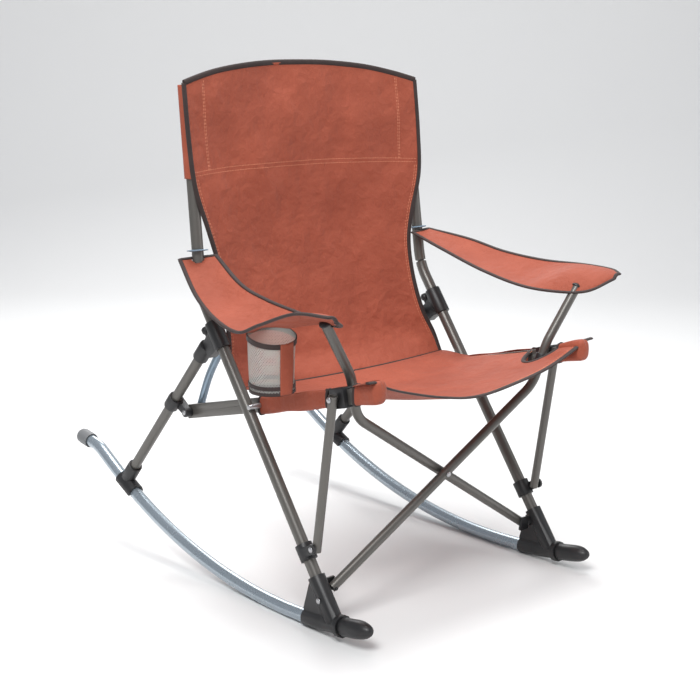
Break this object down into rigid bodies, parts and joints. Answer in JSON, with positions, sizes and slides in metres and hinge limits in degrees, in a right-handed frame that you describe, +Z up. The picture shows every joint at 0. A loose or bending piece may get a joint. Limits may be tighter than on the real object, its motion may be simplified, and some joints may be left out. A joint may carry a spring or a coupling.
{
  "type": "camp rocking chair",
  "caption": "Folding camp rocking chair with curved steel rockers, crossed front tubes, a rust-orange fabric seat, back and arms, and a mesh cup holder.",
  "frame": {"origin": "bottom centre of the bounding box, on the floor under the rockers", "axes": "+Z up, the sitter faces -Y, +X to the sitter's left"},
  "size_m": [0.7484, 0.9348, 0.9636],
  "materials": {
    "rail_paint": "gloss",
    "frame_paint": "satin",
    "brace_paint": "gloss",
    "moulding": "matte",
    "zinc": "satin",
    "blue_plastic": "matte",
    "grey_plastic": "matte",
    "orange_cloth": "matte",
    "mesh_cloth": "matte"
  },
  "bodies": {
    "right_frame": {"right_rocker_rail": "rail_paint", "right_toe_cap": "moulding", "right_tail_cap": "grey_plastic", "right_foot_bracket": "moulding", "right_bracket_screw": "zinc", "right_main_tube": "frame_paint", "right_arm_disc": "blue_plastic", "right_rear_leg": "frame_paint", "right_rear_saddle": "moulding", "right_back_hub": "moulding", "right_hub_peg": "moulding", "right_curved_brace": "brace_paint", "right_rear_collar": "moulding", "right_seat_pivot_pin": "zinc", "back_sling": "orange_cloth"},
    "right_swivel": {"right_foot_lug": "moulding"},
    "right_post": {"right_post_tube": "frame_paint", "right_post_collar": "moulding", "right_post_cap": "moulding"},
    "right_seat_rail": {"right_seat_rail": "frame_paint", "right_seat_rail_cap": "moulding", "right_seat_hub": "moulding", "right_hub_pin": "zinc", "right_stop_stud": "zinc", "seat_sling": "orange_cloth"},
    "right_strut": {"right_strut": "frame_paint"},
    "right_slider": {"right_slider": "moulding", "right_slider_pin": "zinc"},
    "right_arm": {"right_arm_rest": "orange_cloth", "cup_holder": "mesh_cloth"},
    "left_frame": {"left_rocker_rail": "rail_paint", "left_toe_cap": "moulding", "left_tail_cap": "grey_plastic", "left_foot_bracket": "moulding", "left_bracket_screw": "zinc", "left_main_tube": "frame_paint", "left_arm_disc": "blue_plastic", "left_rear_leg": "frame_paint", "left_rear_saddle": "moulding", "left_back_hub": "moulding", "left_hub_peg": "moulding", "left_curved_brace": "brace_paint", "left_rear_collar": "moulding", "left_seat_pivot_pin": "zinc"},
    "left_swivel": {"left_foot_lug": "moulding"},
    "left_post": {"left_post_tube": "frame_paint", "left_post_collar": "moulding", "left_post_cap": "moulding", "cross_rivet": "zinc"},
    "left_seat_rail": {"left_seat_rail": "frame_paint", "left_seat_rail_cap": "moulding", "left_seat_hub": "moulding", "left_hub_pin": "zinc", "left_stop_stud": "zinc"},
    "left_strut": {"left_strut": "frame_paint"},
    "left_slider": {"left_slider": "moulding", "left_slider_pin": "zinc"},
    "left_arm": {"left_arm_rest": "orange_cloth"}
  },
  "joints": [
    {"name": "fold", "type": "hinge", "parent": "right_swivel", "child": "left_post", "pos_m": [-0.251, -0.32362, 0.07561], "axis": [0, -0.9914, -0.1305], "range_deg": [0, 40], "deforming": ["seat_sling", "back_sling", "right_arm_rest", "left_arm_rest", "cup_holder"]},
    {"name": "right_foot_swivel", "type": "hinge", "parent": "right_frame", "child": "right_swivel", "pos_m": [-0.251, -0.32362, 0.07561], "axis": [1, 0, 0], "range_deg": [-16.01, 0]},
    {"name": "tubes_cross", "type": "hinge", "parent": "left_post", "child": "right_post", "pos_m": [0, -0.3449, 0.23722], "axis": [0, -0.9914, -0.1305], "range_deg": [-80.01, 0]},
    {"name": "left_foot_pivot", "type": "hinge", "parent": "right_post", "child": "left_swivel", "pos_m": [0.251, -0.32362, 0.07561], "axis": [0, -0.9914, -0.1305], "range_deg": [0, 40.01]},
    {"name": "left_foot_swivel", "type": "hinge", "parent": "left_swivel", "child": "left_frame", "pos_m": [0.251, -0.32362, 0.07561], "axis": [1, 0, 0], "range_deg": [0, 16.01]},
    {"name": "right_seat_rail_hinge", "type": "hinge", "parent": "right_frame", "child": "right_seat_rail", "pos_m": [-0.255, 0.0777, 0.31175], "axis": [1, 0, 0], "range_deg": [-32.54, 0]},
    {"name": "right_strut_hinge", "type": "hinge", "parent": "right_seat_rail", "child": "right_strut", "pos_m": [-0.28, -0.36786, 0.42201], "axis": [1, 0, 0], "range_deg": [0, 40.68]},
    {"name": "right_slider_slide", "type": "slide", "parent": "right_frame", "child": "right_slider", "axis": [0, 0.5864, 0.81], "range_m": [0, 0.28541]},
    {"name": "right_arm_hinge", "type": "hinge", "parent": "right_frame", "child": "right_arm", "pos_m": [-0.28, 0.0173, 0.6316], "axis": [-0.8937, -0.0362, 0.4472], "range_deg": [0, 50.47]},
    {"name": "left_seat_rail_hinge", "type": "hinge", "parent": "left_frame", "child": "left_seat_rail", "pos_m": [0.255, 0.0777, 0.31175], "axis": [1, 0, 0], "range_deg": [-32.54, 0]},
    {"name": "left_strut_hinge", "type": "hinge", "parent": "left_seat_rail", "child": "left_strut", "pos_m": [0.28, -0.36786, 0.42201], "axis": [1, 0, 0], "range_deg": [0, 40.68]},
    {"name": "left_slider_slide", "type": "slide", "parent": "left_frame", "child": "left_slider", "axis": [0, 0.5864, 0.81], "range_m": [0, 0.28541]},
    {"name": "left_arm_hinge", "type": "hinge", "parent": "left_frame", "child": "left_arm", "pos_m": [0.28, 0.0173, 0.6316], "axis": [-0.8978, 0.0354, -0.439], "range_deg": [0, 48.47]}
  ],
  "couplings": [
    {"joint": "right_foot_swivel", "follows": "fold", "ratio": -0.39997},
    {"joint": "tubes_cross", "follows": "fold", "ratio": -2},
    {"joint": "left_foot_pivot", "follows": "fold", "ratio": 1},
    {"joint": "left_foot_swivel", "follows": "fold", "ratio": 0.39997},
    {"joint": "right_seat_rail_hinge", "follows": "fold", "ratio": -0.81336},
    {"joint": "right_strut_hinge", "follows": "fold", "ratio": 1.0168},
    {"joint": "right_slider_slide", "follows": "fold", "m_per_rad": 0.40881},
    {"joint": "right_arm_hinge", "follows": "fold", "ratio": 1.2615},
    {"joint": "left_seat_rail_hinge", "follows": "fold", "ratio": -0.81336},
    {"joint": "left_strut_hinge", "follows": "fold", "ratio": 1.0168},
    {"joint": "left_slider_slide", "follows": "fold", "m_per_rad": 0.40881},
    {"joint": "left_arm_hinge", "follows": "fold", "ratio": 1.2114}
  ]
}
